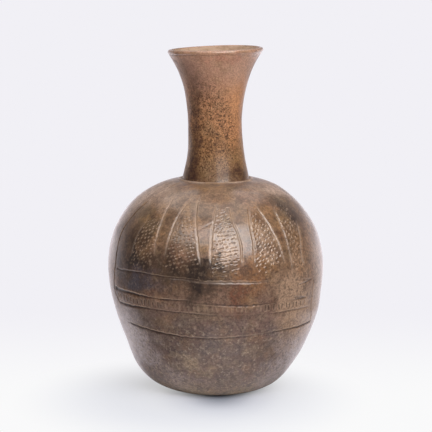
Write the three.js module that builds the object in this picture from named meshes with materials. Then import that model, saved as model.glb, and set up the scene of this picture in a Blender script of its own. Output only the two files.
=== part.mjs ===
// A hand-built pottery bottle: flat foot, round body, waisted neck and flared mouth.
// A clay disc carries rings of clay, each lapped over the ring below on a bevelled joint filled with slip.
// Millimetres, +Z up, origin at the middle of the foot's underside.
import * as THREE from "three";

// Heights, each stacked on the one before it
const BELLY_RISE = 107.5;
const SHOULDER_RISE = 78;
const WAIST_RISE = 50.5;
const FLARE_RISE = 64;

// Outside radii
const FOOT_RADIUS = 43.5;
const BELLY_RADIUS = 95.2;
const NECK_ROOT_RADIUS = 29.5;
const WAIST_RADIUS = 23.5;
const MOUTH_RADIUS = 41.5;

// How far the outline holds its direction before it bends away
const HEEL_RUN = 23;
const BELLY_HOLD_BELOW = 45;
const BELLY_HOLD_ABOVE = 48;
const CROWN_RUN = 28.8;
const NECK_ROOT_HOLD = 18.5;
const WAIST_HOLD_BELOW = 28;
const WAIST_HOLD_ABOVE = 9.5;
const MOUTH_HOLD = 27;

// Slopes of the neck, in degrees from upright
const NECK_ROOT_SLOPE = 12;
const MOUTH_SLOPE = 38;

// Thickness of the clay
const FLOOR_THICKNESS = 8;
const BODY_WALL = 7;
const NECK_WALL = 5.5;
const LIP_WALL = 4;

// Joints between the rings, measured along the wall
const JOINT_LAP = 9;
const SLIP_LAYER = 0.3;
const DISC_EDGE = 8;
const LIP_FACE = 6;

// The mouth as it was set by hand, tilted down towards -X, in degrees
const MOUTH_TILT = 2.8;

// Rings of clay from the disc to the crown, and from the neck's foot to the mouth, with their fired colours
const BODY_RINGS = [
  ["heel_ring", 0x6e6056],
  ["lower_wall_ring", 0x715d4e],
  ["belly_ring", 0x6f5743],
  ["upper_belly_ring", 0x735a44],
  ["shoulder_ring", 0x7a6048],
  ["crown_ring", 0x7d634b],
];
const NECK_RINGS = [
  ["neck_foot_ring", 0x6d4f3a],
  ["neck_waist_ring", 0x84604a],
  ["throat_ring", 0x9a7054],
  ["mouth_ring", 0xa57b5e],
];
const DISC_COLOUR = 0x665a52;
const LIP_COLOUR = 0xa78062;
const BURNISHED = 0.45;

// Facets
const RING_SIDES = 48;
const WALL_STEPS = 4;
const LIP_STEPS = 6;

const neckRootHeight = BELLY_RISE + SHOULDER_RISE;
const waistHeight = neckRootHeight + WAIST_RISE;
const mouthHeight = waistHeight + FLARE_RISE;

// A point of the outline: radius from the axis, then height.
function at(radius, height) {
  return new THREE.Vector2(radius, height);
}

// A wall of clay under an outer outline, its thickness changing evenly over the taper, or over its whole length.
function makeWall(curves, startWall, endWall, taperLength) {
  const path = new THREE.CurvePath();
  path.curves.push(...curves);
  const length = path.getLength();
  const taper = taperLength ?? length;
  const thickness = (s) => THREE.MathUtils.lerp(startWall, endWall, Math.min(1, s / taper));
  const outer = (s) => path.getPoint(s / length);
  const along = (s) => path.getTangent(s / length);
  const inner = (s) => {
    const { x, y } = along(s);
    return at(-y, x).multiplyScalar(thickness(s)).add(outer(s));
  };
  return { length, thickness, outer, inner, along };
}

function makeBodyWall() {
  const foot = at(FOOT_RADIUS, 0);
  const belly = at(BELLY_RADIUS, BELLY_RISE);
  const root = at(NECK_ROOT_RADIUS, neckRootHeight);
  const lower = new THREE.CubicBezierCurve(
    foot,
    at(FOOT_RADIUS + HEEL_RUN, 0),
    at(BELLY_RADIUS, BELLY_RISE - BELLY_HOLD_BELOW),
    belly,
  );
  const upper = new THREE.CubicBezierCurve(
    belly,
    at(BELLY_RADIUS, BELLY_RISE + BELLY_HOLD_ABOVE),
    at(NECK_ROOT_RADIUS + CROWN_RUN, neckRootHeight),
    root,
  );
  return makeWall([lower, upper], FLOOR_THICKNESS, BODY_WALL, DISC_EDGE + JOINT_LAP);
}

function makeNeckWall() {
  const rootSlope = THREE.MathUtils.degToRad(NECK_ROOT_SLOPE);
  const mouthSlope = THREE.MathUtils.degToRad(MOUTH_SLOPE);
  const root = at(NECK_ROOT_RADIUS, neckRootHeight);
  const waist = at(WAIST_RADIUS, waistHeight);
  const mouth = at(MOUTH_RADIUS, mouthHeight);
  const lower = new THREE.CubicBezierCurve(
    root,
    at(-Math.sin(rootSlope), Math.cos(rootSlope)).multiplyScalar(NECK_ROOT_HOLD).add(root),
    at(WAIST_RADIUS, waistHeight - WAIST_HOLD_BELOW),
    waist,
  );
  const flare = new THREE.CubicBezierCurve(
    waist,
    at(WAIST_RADIUS, waistHeight + WAIST_HOLD_ABOVE),
    at(-Math.sin(mouthSlope), -Math.cos(mouthSlope)).multiplyScalar(MOUTH_HOLD).add(mouth),
    mouth,
  );
  return makeWall([lower, flare], NECK_WALL, LIP_WALL);
}

const body = makeBodyWall();
const neck = makeNeckWall();

// The bevelled seat that the neck stands on ends at this corner inside the pot.
const seatCorner = at(neck.inner(0).x, body.inner(body.length).y);
const lipStart = neck.length - LIP_WALL / 2;
const discJoint = DISC_EDGE + JOINT_LAP / 2;
const lipJoint = lipStart - LIP_FACE - JOINT_LAP / 2;

// Where a bevelled joint meets the outside or inside of a wall, on its lower (-1) or upper (+1) side.
function jointEdge(wall, joint, face, side) {
  const bevel = Math.hypot(wall.thickness(joint), JOINT_LAP);
  const slip = SLIP_LAYER * bevel / wall.thickness(joint);
  return joint + face * JOINT_LAP / 2 + side * slip / 2;
}

const outerEdge = (wall, joint, side) => jointEdge(wall, joint, 1, side);
const innerEdge = (wall, joint, side) => jointEdge(wall, joint, -1, side);

// Points along one face of a wall.
function span(face, from, to) {
  return Array.from({ length: WALL_STEPS + 1 }, (_, i) => face(THREE.MathUtils.lerp(from, to, i / WALL_STEPS)));
}

// Shears the neck to the mouth's tilt, from nothing at its root.
function tiltMouth(geometry) {
  const tilt = Math.tan(THREE.MathUtils.degToRad(MOUTH_TILT));
  const place = geometry.getAttribute("position");
  for (let i = 0; i < place.count; i += 1) {
    const rise = THREE.MathUtils.smoothstep(place.getZ(i), neckRootHeight, mouthHeight);
    place.setZ(i, place.getZ(i) + place.getX(i) * tilt * rise);
  }
}

// Turns an outline, up the outside and down the inside, into one named piece of clay.
function turnPiece(name, outline, color) {
  const geometry = new THREE.LatheGeometry(outline, RING_SIDES);
  geometry.rotateX(Math.PI / 2);
  tiltMouth(geometry);
  const clay = new THREE.MeshStandardMaterial({ color, roughness: BURNISHED, metalness: 0 });
  const piece = new THREE.Mesh(geometry, clay);
  piece.name = name;
  return piece;
}

function turnRing(name, outside, inside, color) {
  return turnPiece(name, [...outside, ...inside.reverse(), outside[0].clone()], color);
}

function makeBaseDisc() {
  const outside = span(body.outer, 0, outerEdge(body, discJoint, -1));
  const inside = span(body.inner, 0, innerEdge(body, discJoint, -1));
  return turnPiece("base_disc", [at(0, 0), ...outside, ...inside.reverse(), at(0, FLOOR_THICKNESS)], DISC_COLOUR);
}

function makeBodyRings() {
  const width = (body.length - discJoint) / BODY_RINGS.length;
  return BODY_RINGS.map(([name, colour], i) => {
    const joint = discJoint + i * width;
    const next = joint + width;
    const start = [outerEdge(body, joint, 1), innerEdge(body, joint, 1)];
    if (i === BODY_RINGS.length - 1) {
      const inside = [...span(body.inner, start[1], body.length), seatCorner];
      return turnRing(name, span(body.outer, start[0], body.length), inside, colour);
    }
    const outside = span(body.outer, start[0], outerEdge(body, next, -1));
    return turnRing(name, outside, span(body.inner, start[1], innerEdge(body, next, -1)), colour);
  });
}

function makeNeckRings() {
  const width = lipJoint / NECK_RINGS.length;
  const seatSlip = SLIP_LAYER * Math.hypot(BODY_WALL, NECK_WALL) / NECK_WALL;
  return NECK_RINGS.map(([name, colour], i) => {
    const joint = i * width;
    const end = [outerEdge(neck, joint + width, -1), innerEdge(neck, joint + width, -1)];
    if (i === 0) {
      const inside = [at(seatCorner.x, seatCorner.y + seatSlip), ...span(neck.inner, 0, end[1])];
      return turnRing(name, span(neck.outer, seatSlip, end[0]), inside, colour);
    }
    const outside = span(neck.outer, outerEdge(neck, joint, 1), end[0]);
    return turnRing(name, outside, span(neck.inner, innerEdge(neck, joint, 1), end[1]), colour);
  });
}

// The lip coil: a short wall closed at the top by a half round.
function makeLipCoil() {
  const outside = span(neck.outer, outerEdge(neck, lipJoint, 1), lipStart);
  const inside = span(neck.inner, innerEdge(neck, lipJoint, 1), lipStart);
  const edge = neck.outer(lipStart);
  const centre = edge.clone().lerp(neck.inner(lipStart), 0.5);
  const across = edge.clone().sub(centre);
  const onward = neck.along(lipStart).multiplyScalar(across.length());
  for (let i = 1; i < LIP_STEPS; i += 1) {
    const turn = Math.PI * i / LIP_STEPS;
    const point = centre.clone();
    point.addScaledVector(across, Math.cos(turn));
    point.addScaledVector(onward, Math.sin(turn));
    outside.push(point);
  }
  return turnRing("lip_coil", outside, inside, LIP_COLOUR);
}

const bottle = new THREE.Group();
bottle.add(makeBaseDisc(), ...makeBodyRings(), ...makeNeckRings(), makeLipCoil());

export default bottle;
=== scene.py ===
# A hand-built pottery bottle in burnished, incised earthenware, dressed over its solids.
import math

import bmesh
import bpy
import numpy as np
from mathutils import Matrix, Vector


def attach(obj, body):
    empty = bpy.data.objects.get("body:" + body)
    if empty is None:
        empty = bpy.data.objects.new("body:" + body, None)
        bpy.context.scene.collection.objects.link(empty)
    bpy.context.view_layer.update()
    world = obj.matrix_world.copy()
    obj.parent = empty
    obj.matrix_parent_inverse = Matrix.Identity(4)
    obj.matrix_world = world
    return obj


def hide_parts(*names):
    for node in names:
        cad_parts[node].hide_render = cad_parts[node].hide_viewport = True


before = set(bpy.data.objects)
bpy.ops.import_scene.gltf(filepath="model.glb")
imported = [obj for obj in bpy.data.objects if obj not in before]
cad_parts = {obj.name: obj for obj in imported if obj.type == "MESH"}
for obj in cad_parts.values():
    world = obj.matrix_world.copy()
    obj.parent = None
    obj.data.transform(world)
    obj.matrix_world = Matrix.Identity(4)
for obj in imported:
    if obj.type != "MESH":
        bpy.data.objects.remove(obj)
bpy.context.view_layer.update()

# Lengths are in millimetres and angles in degrees where no comment says otherwise
MM = 0.001

# Heights of the outline, each stacked on the one before it
BELLY_RISE = 107.5
SHOULDER_RISE = 78
WAIST_RISE = 50.5
FLARE_RISE = 64
NECK_ROOT_HEIGHT = BELLY_RISE + SHOULDER_RISE
WAIST_HEIGHT = NECK_ROOT_HEIGHT + WAIST_RISE
MOUTH_HEIGHT = WAIST_HEIGHT + FLARE_RISE

# Outside radii
FOOT_RADIUS = 43.5
BELLY_RADIUS = 95.2
NECK_ROOT_RADIUS = 29.5
WAIST_RADIUS = 23.5
MOUTH_RADIUS = 41.5

# How far the outline holds its direction before it bends away
HEEL_RUN = 23
BELLY_HOLD_BELOW = 45
BELLY_HOLD_ABOVE = 48
CROWN_RUN = 28.8
NECK_ROOT_HOLD = 18.5
WAIST_HOLD_BELOW = 28
WAIST_HOLD_ABOVE = 9.5
MOUTH_HOLD = 27

# Slopes of the neck from upright, and the tilt of the mouth towards -X
NECK_ROOT_SLOPE = 12
MOUTH_SLOPE = 38
MOUTH_TILT = 2.8

# Clay thickness and the lapped joints
FLOOR_THICKNESS = 8
BODY_WALL = 7
NECK_WALL = 5.5
LIP_WALL = 4
JOINT_LAP = 9
HALF_LAP = JOINT_LAP / 2
DISC_EDGE = 8
LIP_FACE = 6

# Rings of clay from the disc to the crown, and from the neck's foot to the mouth
BODY_RINGS = [
    "heel_ring", "lower_wall_ring", "belly_ring", "upper_belly_ring", "shoulder_ring", "crown_ring",
]
NECK_RINGS = ["neck_foot_ring", "neck_waist_ring", "throat_ring", "mouth_ring"]

# Facets round a piece, and steps between the rows of its outside, finest under the ornament
FINE_STEPS = 1152
PLAIN_STEPS = 576
NECK_STEPS = 384
FINE_ROW = 0.5
PLAIN_ROW = 1.0
LIP_ROW = 0.6
# Rows on a ring's inside and round the lip
INSIDE_ROWS = 6
LIP_ROWS = 14
# Kinds of rings: slot, step between rows, rows on the inside, and facets
HEEL_KIND = ("foot_clay", PLAIN_ROW, INSIDE_ROWS, PLAIN_STEPS)
BODY_KIND = ("body_clay", FINE_ROW, INSIDE_ROWS, FINE_STEPS)
NECK_KIND = ("neck_clay", PLAIN_ROW, 2 * INSIDE_ROWS, NECK_STEPS)
# A turn is spun as one fine share and its copies, whose edges are merged
SPIN_SHARES = 32
MERGE_GAP = 1e-6
SHARP_ANGLE = math.radians(30)
CURVE_POINTS = 800
LINE_STEPS = 8

# The ridge of clay smoothed up round the foot of the neck, and how pale its painted highlight is
RIDGE_FROM_NECK = 2.0
RIDGE_WIDTH = 1.0
RIDGE_HEIGHT = 1.15
RIDGE_GLINT = 0.8

# Slow waves of the hand-built wall: size, waves round the pot, waves per metre of height, two phases
HAND_WAVES = [
    (0.28, 2, 6.0, 0.4, 1.1),
    (0.22, 3, 9.0, 2.1, 0.2),
    (0.16, 5, 14.0, 1.3, 2.6),
    (0.10, 8, 23.0, 0.7, 0.9),
    (0.06, 13, 37.0, 2.9, 1.7),
]
# Height over which the waves set in, so that the foot stays level
LEVEL_FOOT = 18.0
# How the lip rises and dips: waves round the mouth, then their size at the front and a quarter turn on
LIP_WAVES = [(0, -0.7, 0.0), (1, 0.45, -0.8), (2, 0.2, -0.22)]
# How far the hand-built wall leans towards +X and swells, by height
HAND_SHAPE = [
    (0, 1.2, 0.0), (10, 0.0, 0.4), (21, -0.2, 0.6), (32, 1.1, 0.1), (43, 1.95, -0.4), (58, 2.2, -0.1),
    (72, 1.9, 0.3), (86, 0.9, 0.0), (104, 0.8, 0.45), (118, 0.75, 0.55), (130, 0.6, 0.8), (142, 0.5, 1.15),
    (156, 0.3, 0.85), (167, 0.3, 0.9), (173, 0.7, 0.75), (179, 1.4, 0.7), (186, 1.2, 0.3), (208, 0.9, -0.1),
    (228, 0.1, 0.0), (250, 0.4, 0.2), (268, 0.8, 0.6), (288, 0.5, 1.2), (304, 0.6, 1.6),
]
# The oval foot: how much narrower it is from side to side, and the height over which that fades
FOOT_SQUEEZE = 0.13
OVAL_HEIGHT = 3.2
# The groove pressed in under the lip, deepest on the left, and painted dark as its shadow
GROOVE_UNDER_LIP = 0.9
GROOVE_WIDTH = 0.8
GROOVE_DEPTH = 0.5


def curve(start, leave, arrive, end):
    """A run of the outline from start to end that leaves and arrives along its two handles."""
    t = np.linspace(0, 1, CURVE_POINTS)[:, None]
    start, leave, arrive, end = (np.array(p, float) for p in (start, leave, arrive, end))
    return (1 - t) ** 3 * start + 3 * (1 - t) ** 2 * t * leave + 3 * (1 - t) * t**2 * arrive + t**3 * end


def part_way(start, end, share):
    return start + (end - start) * share


def smooth_step(value, low, high):
    t = np.clip((value - low) / (high - low), 0, 1)
    return t * t * (3 - 2 * t)


class Wall:
    """A wall of clay under its outer outline. Places on it are millimetres along the outline."""

    def __init__(self, runs, start_wall, end_wall, taper=None):
        self.line = np.vstack([runs[0], *(run[1:] for run in runs[1:])])
        steps = np.linalg.norm(np.diff(self.line, axis=0), axis=1)
        self.marks = np.concatenate([[0], np.cumsum(steps)])
        self.length = self.marks[-1]
        self.walls = (start_wall, end_wall)
        self.taper = taper or self.length

    def outer(self, along):
        return np.stack([np.interp(along, self.marks, self.line[:, i]) for i in (0, 1)], axis=-1)

    def outward(self, along):
        step = 0.2
        run = self.outer(np.minimum(along + step, self.length)) - self.outer(np.maximum(along - step, 0))
        out = np.stack([run[..., 1], -run[..., 0]], axis=-1)
        return out / np.linalg.norm(out, axis=-1, keepdims=True)

    def inner(self, along):
        share = np.minimum(1, np.asarray(along) / self.taper)
        return self.outer(along) - part_way(*self.walls, share)[..., None] * self.outward(along)

    def along_at(self, height):
        return np.interp(height, self.line[:, 1], self.marks)


def handle(point, slope, hold):
    """The handle of an outline's point, held along a slope from upright."""
    turn = math.radians(slope)
    return (point[0] - hold * math.sin(turn), point[1] + hold * math.cos(turn))


def body_wall():
    belly = (BELLY_RADIUS, BELLY_RISE)
    root = (NECK_ROOT_RADIUS, NECK_ROOT_HEIGHT)
    crown = (NECK_ROOT_RADIUS + CROWN_RUN, NECK_ROOT_HEIGHT)
    heel = (FOOT_RADIUS + HEEL_RUN, 0)
    lower = curve((FOOT_RADIUS, 0), heel, handle(belly, 0, -BELLY_HOLD_BELOW), belly)
    upper = curve(belly, handle(belly, 0, BELLY_HOLD_ABOVE), crown, root)
    return Wall([lower, upper], FLOOR_THICKNESS, BODY_WALL, DISC_EDGE + JOINT_LAP)


def neck_wall():
    root = (NECK_ROOT_RADIUS, NECK_ROOT_HEIGHT)
    waist = (WAIST_RADIUS, WAIST_HEIGHT)
    mouth = (MOUTH_RADIUS, MOUTH_HEIGHT)
    root_handle = handle(root, NECK_ROOT_SLOPE, NECK_ROOT_HOLD)
    mouth_handle = handle(mouth, -MOUTH_SLOPE, -MOUTH_HOLD)
    lower = curve(root, root_handle, handle(waist, 0, -WAIST_HOLD_BELOW), waist)
    flare = curve(waist, handle(waist, 0, WAIST_HOLD_ABOVE), mouth_handle, mouth)
    return Wall([lower, flare], NECK_WALL, LIP_WALL)


body = body_wall()
neck = neck_wall()
disc_joint = DISC_EDGE + HALF_LAP
lip_start = neck.length - LIP_WALL / 2
lip_joint = lip_start - LIP_FACE - HALF_LAP
body_joints = np.linspace(disc_joint, body.length, len(BODY_RINGS) + 1)
neck_joints = np.linspace(0, lip_joint, len(NECK_RINGS) + 1)
seat_corner = np.array([neck.inner(0.0)[0], body.inner(body.length)[1]])


# Ornament: strokes of the tool as lists of (longitude from the front, height)
# A third value says how firmly the tool was pressed, and a band line comes after the lean of its tool
# The darker line on the smoked left of the belly is drawn as a dent, so its groove carries the dents' painted
# shade
SMOKED_LINE = [(-63, 113, 0.9), (-44, 114.2, 1), (-31, 113.3, 0.9), (-15, 112.6, 0.7), (-3, 109.6, 0.4)]
BAND_LINES = [
    (0.35, [
        (-13, 111, 0.3), (-5, 110.2, 0.6), (8, 110.1, 0.75), (22, 109, 0.55), (29, 109, 0.25),
        (44, 107.2, 0.1),
    ]),
    (0.0, [(44, 107.2, 0.1), (50, 106.2, 0.25), (61, 104, 0.4)]),
    (0.35, [
        (-68, 93.9, 1.2), (-52, 94.8, 1.3), (-42, 94, 1.1), (-34, 93.6, 0.5), (-26, 93.2, 0.7),
        (-12, 93.8, 0.3),
    ]),
    (0.35, [(-68, 95.8, 1), (-62, 95.2, 1), (-56, 95.2, 0.4)]),
    (-0.3, [
        (-17, 92, 0.1), (-6, 91.2, 0.3), (2, 90.2, 0.5), (10, 89.4, 0.65), (18, 88.8, 0.65), (25, 89.3, 0.4),
        (33, 90, 0.1),
    ]),
    (0.35, [(38, 89.9, 0.1), (46, 89.7, 0.35), (51, 89.5, 0.9), (56, 89.3, 0.7)]),
    (0.35, [
        (-65, 82.9, 1), (-55, 82.7, 1.1), (-44, 83.3, 0.9), (-34, 83.2, 0.5), (-25, 82.8, 0.6),
        (-15, 82.3, 0.4),
    ]),
    (0.2, [(-20, 82.6, 0.4), (-10, 81.8, 0.5), (-3, 81.2, 0.3), (8, 80.8, 0.15), (30, 80.2, 0.1)]),
    (0.2, [(28, 80.2, 0.15), (36, 80.2, 0.45), (43, 80.3, 0.55), (52, 80.1, 0.5), (61, 80, 0.5)]),
    (0.35, [(-60, 66, 0.9), (-50, 64.5, 1.1), (-42, 63.2, 1.15), (-28, 61.4, 1), (-17, 59.9, 0.6)]),
    (0.2, [(-22, 60.6, 0.7), (-5, 59.8, 0.5), (8, 60.5, 0.55), (20, 61.8, 0.35), (34, 63, 0.3)]),
    (0.35, [(30, 62.8, 0.4), (41, 63.4, 0.7), (52, 63.7, 0.95), (66, 64.3, 0.9), (68.5, 65.8, 0.7)]),
]
BORDER_LINES = [
    [
        (-58, 184.8), (-57, 180), (-63, 160), (-66.4, 144), (-66, 131), (-66.2, 114.4), (-67.7, 101),
        (-69.3, 91), (-65, 83),
    ],
    [(62.5, 103.4), (63.4, 91), (64, 77.6), (66.5, 67)],
    [(49, 102.2), (54, 102.8), (59.3, 104)],
    [(46.5, 91.6), (52, 90.2), (56.5, 89)],
]
SCRATCH = [(-21, 146.8), (-14, 150.3), (-1.6, 158.3), (3, 160)]
WEDGE_LINES = [
    [[(-50.5, 127, 0.5), (-49.9, 139.4, 0.5), (-48.9, 149, 0.5), (-47.3, 155, 0.4), (-46, 161, 0.3)],
     [(-33.6, 129, 0.4), (-34.3, 140, 0.7), (-34.4, 150), (-34.6, 157), (-35.4, 169.3), (-36.8, 176, 0.5)]],
    [[(-27.4, 129, 0.5), (-26.9, 139), (-25.9, 148.7), (-24.9, 159), (-22.3, 171.6), (-19.3, 177.8)],
     [(-7.6, 125.2), (-9.5, 142.7), (-11.4, 156), (-13.6, 171), (-14.4, 176.8)]],
    [[(-2.2, 125.4), (-2.1, 143), (-1.1, 156), (1.1, 172.3)],
     [(13.7, 125), (14, 140.5), (12.7, 152), (11.1, 159), (10.8, 169)]],
    [[(20.6, 124.4), (21.2, 143.8), (21.5, 155), (23.8, 168.2)],
     [(38.4, 124), (36.9, 137.5), (35.3, 147), (33.4, 157.7), (30.7, 169)]],
    [[(43.7, 116.5), (43.5, 128), (43, 138.5), (43, 148), (43.4, 156), (44.2, 166.3)],
     [(54.6, 118.5), (52.5, 126), (55.8, 142.5), (59.8, 154)]],
]
# The dents in each wedge: slant, length, burr, kind (plain dents carry painted shade, glint beads a painted
# glint), and how strongly that shows
WEDGE_DENTS = [
    (45, 0.5, 0.3, "bead", 1.25),
    (40, 0.6, 0.3, "bead", 0.6),
    (16, 1.9, 0.2, "dent", 0.55),
    (46, 1.5, 0.35, "bead", 0.45),
    (50, 1.2, 0.35, "bead", 0.65),
]
# Heights between which a wedge is stippled, and between which its pale beads, a painted glint, fade out
STIPPLE_TOP = 168.0
STIPPLE_FOOT = 113.5
BEAD_FADE = (150, 166)
# From dent to dent, from row to row, and from a wedge's side lines
STIPPLE_PITCH = 3.7
STIPPLE_STEP = 3.7
STIPPLE_MARGIN = 2.3
# How rows of slanting dents climb, and shares of the dents: at a wedge's foot, at its top, and for sure
ROW_CLIMB = 0.4
FOOT_SHARE = 0.35
TOP_SHARE = 0.45
SURE_SHARE = 0.1
# How a dent strays: shares of the pitch sideways, then up or down, and round
DENT_STRAY = (0.15, 0.45, 12)
# Least and most that a dent's width, depth, length and show are multiplied by
DENT_WIDTHS = (0.8, 1.15)
DENT_DEPTHS = (0.6, 1.15)
DENT_LENGTHS = (0.6, 1.3)
DENT_SHOWS = (0.5, 1.0)
# The row of ticks: longitude, lowest and highest point at either end, and how far apart ticks are
TICK_BAND = [(-64, 84.4, 92.6), (58, 81.6, 88.0)]
TICK_PITCHES = (2.5, 3.2)
# How a tick strays: sideways in degrees, up or down, and round
TICK_STRAY = (0.25, 0.4, 10)
TICK_LENGTHS = (0.35, 0.62)
# How firmly a tick is pressed in the middle, how much more aside, and where that begins
TICK_PRESS = (0.75, 0.5)
TICK_SIDES = 0.2
# Ticks aside are dents with painted shade; ticks in the middle carry a painted glint, shown between these
# strengths
SIDE_TICK = ("dent", 1.3)
MIDDLE_SHOWS = (0.2, 0.6)

# Half width and depth of each kind of stroke, and the share of its depth that its burr stands
WEDGE_GROOVE = (1.2, 0.52, 0.14)
SMOKED_GROOVE = (1.2, 0.7, 0.22)
BAND_GROOVE = (1.45, 0.8, 0.36)
BORDER_GROOVE = (0.9, 0.5, 0.14)
SCRATCH_GROOVE = (1.5, 0.1, 0.0)
STIPPLE_DENT = (0.74, 0.55)
TICK_DENT = (0.85, 0.6, 0.14)
# How far a line takes to fade in and out, and how firm it still is at its very end
STROKE_END = 5.0
END_PRESS = 0.25
# How wide an unpressed stroke is, how its hollow is rounded, and where its burr stands, in half widths
SOFT_WIDTH = 0.5
HOLLOW_ROUND = 1.5
STROKE_REACH = 2.2
BURR_PLACE = 1.35
BURR_WIDTH = 0.35
UNCUT_DEPTH = 0.02
# How far the drawing hand trembled, and how unevenly it pressed
TREMBLE = 0.16
FIRMNESS = (0.72, 1.15)
# Depth at which the painted shade, sheen and glint of a stroke show fully, and height at which a burr's
# painted glint is as pale as it gets
DARK_DEPTH = 0.6
GLINT_HEIGHT = 0.22
# How far the tool leant, which leaves one wall steep, with the burr on that side
DENT_LEAN = -0.25
SMOKED_LEAN = 0.35


def smooth_line(points):
    """A close-set line that runs smoothly through the points."""
    points = np.array(points, float)
    ends = np.vstack([2 * points[0] - points[1], points, 2 * points[-1] - points[-2]])
    t = np.linspace(0, 1, LINE_STEPS, endpoint=False)[:, None]
    runs = []
    for a, b, c, d in zip(ends, ends[1:], ends[2:], ends[3:]):
        runs.append(b + 0.5 * t * (c - a + t * (2 * a - 5 * b + 4 * c - d + t * (3 * (b - c) + d - a))))
    return np.vstack([*runs, points[-1:]])


def tool_stroke(points, tool, chance, lean=0.0, kind="line"):
    """A line drawn by hand. Points without a firmness of their own are pressed fully."""
    line = smooth_line([(*point, 1.0)[:3] for point in points])
    count = len(line)
    line[:, 0] += chance.normal(0, TREMBLE / BELLY_RADIUS, count) * math.degrees(1)
    line[:, 1] = body.along_at(line[:, 1]) + chance.normal(0, TREMBLE, count)
    line[:, 2] *= chance.uniform(*FIRMNESS, count)
    return {"line": line, "tool": tool, "kind": kind, "lean": lean, "show": 1.0}


def side_of_wedge(line, height):
    points = np.array(sorted((point[1], point[0]) for point in line))
    return np.interp(height, points[:, 0], points[:, 1])


def dent(lon, height, length, slant, tool, kind, show):
    """A short dent of the tool's tip, slanting from level by so many radians."""
    radius = body.outer(body.along_at(height))[0]
    half = 0.5 * length
    across = math.degrees(half * math.cos(slant) / radius)
    along = body.along_at(height)
    rise = half * math.sin(slant)
    line = np.array([(lon - across, along - rise, 1.0), (lon + across, along + rise, 1.0)])
    lean = DENT_LEAN if kind == "bead" else 0.0
    return {"line": line, "tool": tool, "kind": kind, "lean": lean, "show": show}


def stipple_wedge(sides, dents_in_wedge, chance):
    """Rows of slanting dents between two wedge lines, thinning out below them."""
    slant, usual_length, curl, kind, show = dents_in_wedge
    row_rise = ROW_CLIMB * math.sin(math.radians(slant))
    half_width, deep = STIPPLE_DENT
    stray_aside, stray_up, stray_turn = DENT_STRAY
    dents = []
    line_foot = min(point[1] for side in sides for point in side)
    along = body.along_at(STIPPLE_TOP)
    shift = 0.0
    while along > body.along_at(STIPPLE_FOOT):
        height = np.interp(along, body.marks, body.line[:, 1])
        radius = body.outer(along)[0]
        margin = math.degrees(STIPPLE_MARGIN / radius)
        left = side_of_wedge(sides[0], height) + margin
        right = side_of_wedge(sides[1], height) - margin
        pitch = math.degrees(STIPPLE_PITCH / radius)
        top_fade = 1 - smooth_step(height, *BEAD_FADE) if kind == "bead" else 1.0
        foot_fade = part_way(FOOT_SHARE, 1, smooth_step(height, STIPPLE_FOOT, line_foot))
        fade = foot_fade * part_way(TOP_SHARE, 1, top_fade)
        for lon in np.arange(left + shift * pitch, right + 0.01, pitch):
            if chance.random() > fade + SURE_SHARE:
                continue
            rise = row_rise * math.radians(lon - left) * radius
            place = (lon + chance.normal(0, stray_aside) * pitch, height + rise + chance.normal(0, stray_up))
            width = half_width * chance.uniform(*DENT_WIDTHS)
            tip = (width, deep * fade * chance.uniform(*DENT_DEPTHS), curl)
            turn = math.radians(slant + chance.normal(0, stray_turn))
            length = usual_length * chance.uniform(*DENT_LENGTHS)
            shown = show * top_fade * chance.uniform(*DENT_SHOWS)
            dents.append(dent(*place, length, turn, tip, kind, shown))
        along -= STIPPLE_STEP
        shift = 0.5 - shift
    return dents


def tick_row(chance):
    """The row of short upright dents inside the narrow band, closest and faintest in the middle, with painted
    shade in those aside and a painted glint in those in the middle.
    """
    (start, low_start, high_start), (end, low_end, high_end) = TICK_BAND
    stray_aside, stray_up, stray_turn = TICK_STRAY
    ticks = []
    lon = start
    while lon < end:
        share = (lon - start) / (end - start)
        low = part_way(low_start, low_end, share)
        high = part_way(high_start, high_end, share)
        aside = abs(2 * share - 1) ** 2
        middle = 0.5 * (low + high) + chance.normal(0, stray_up)
        length = (high - low) * chance.uniform(*TICK_LENGTHS)
        tip = (TICK_DENT[0], TICK_DENT[1] * (TICK_PRESS[0] + TICK_PRESS[1] * aside), TICK_DENT[2])
        slant = math.radians(90 + chance.normal(0, stray_turn))
        kind, show = SIDE_TICK if aside > TICK_SIDES else ("bead", chance.uniform(*MIDDLE_SHOWS))
        ticks.append(dent(lon + chance.normal(0, stray_aside), middle, length, slant, tip, kind, show))
        lon += part_way(*TICK_PITCHES, aside)
    return ticks


def ornament_panel(middle, seed):
    """All strokes of one ornamented side of the body, whose middle is at that longitude."""
    chance = np.random.default_rng(seed)
    strokes = [tool_stroke(line, BAND_GROOVE, chance, lean) for lean, line in BAND_LINES]
    strokes.append(tool_stroke(SMOKED_LINE, SMOKED_GROOVE, chance, SMOKED_LEAN, "dent"))
    strokes += [tool_stroke(line, BORDER_GROOVE, chance, kind="dent") for line in BORDER_LINES]
    strokes.append(tool_stroke(SCRATCH, SCRATCH_GROOVE, chance))
    for sides, dents_in_wedge in zip(WEDGE_LINES, WEDGE_DENTS):
        strokes += [tool_stroke(line, WEDGE_GROOVE, chance) for line in sides]
        strokes += stipple_wedge(sides, dents_in_wedge, chance)
    strokes += tick_row(chance)
    for stroke in strokes:
        stroke["line"][:, 0] += middle
    return strokes


# The middle of each ornamented side, and the seed of the hand that drew it
FRONT_SIDE = (0, 11)
BACK_SIDE = (180, 29)
strokes = ornament_panel(*FRONT_SIDE) + ornament_panel(*BACK_SIDE)


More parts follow.
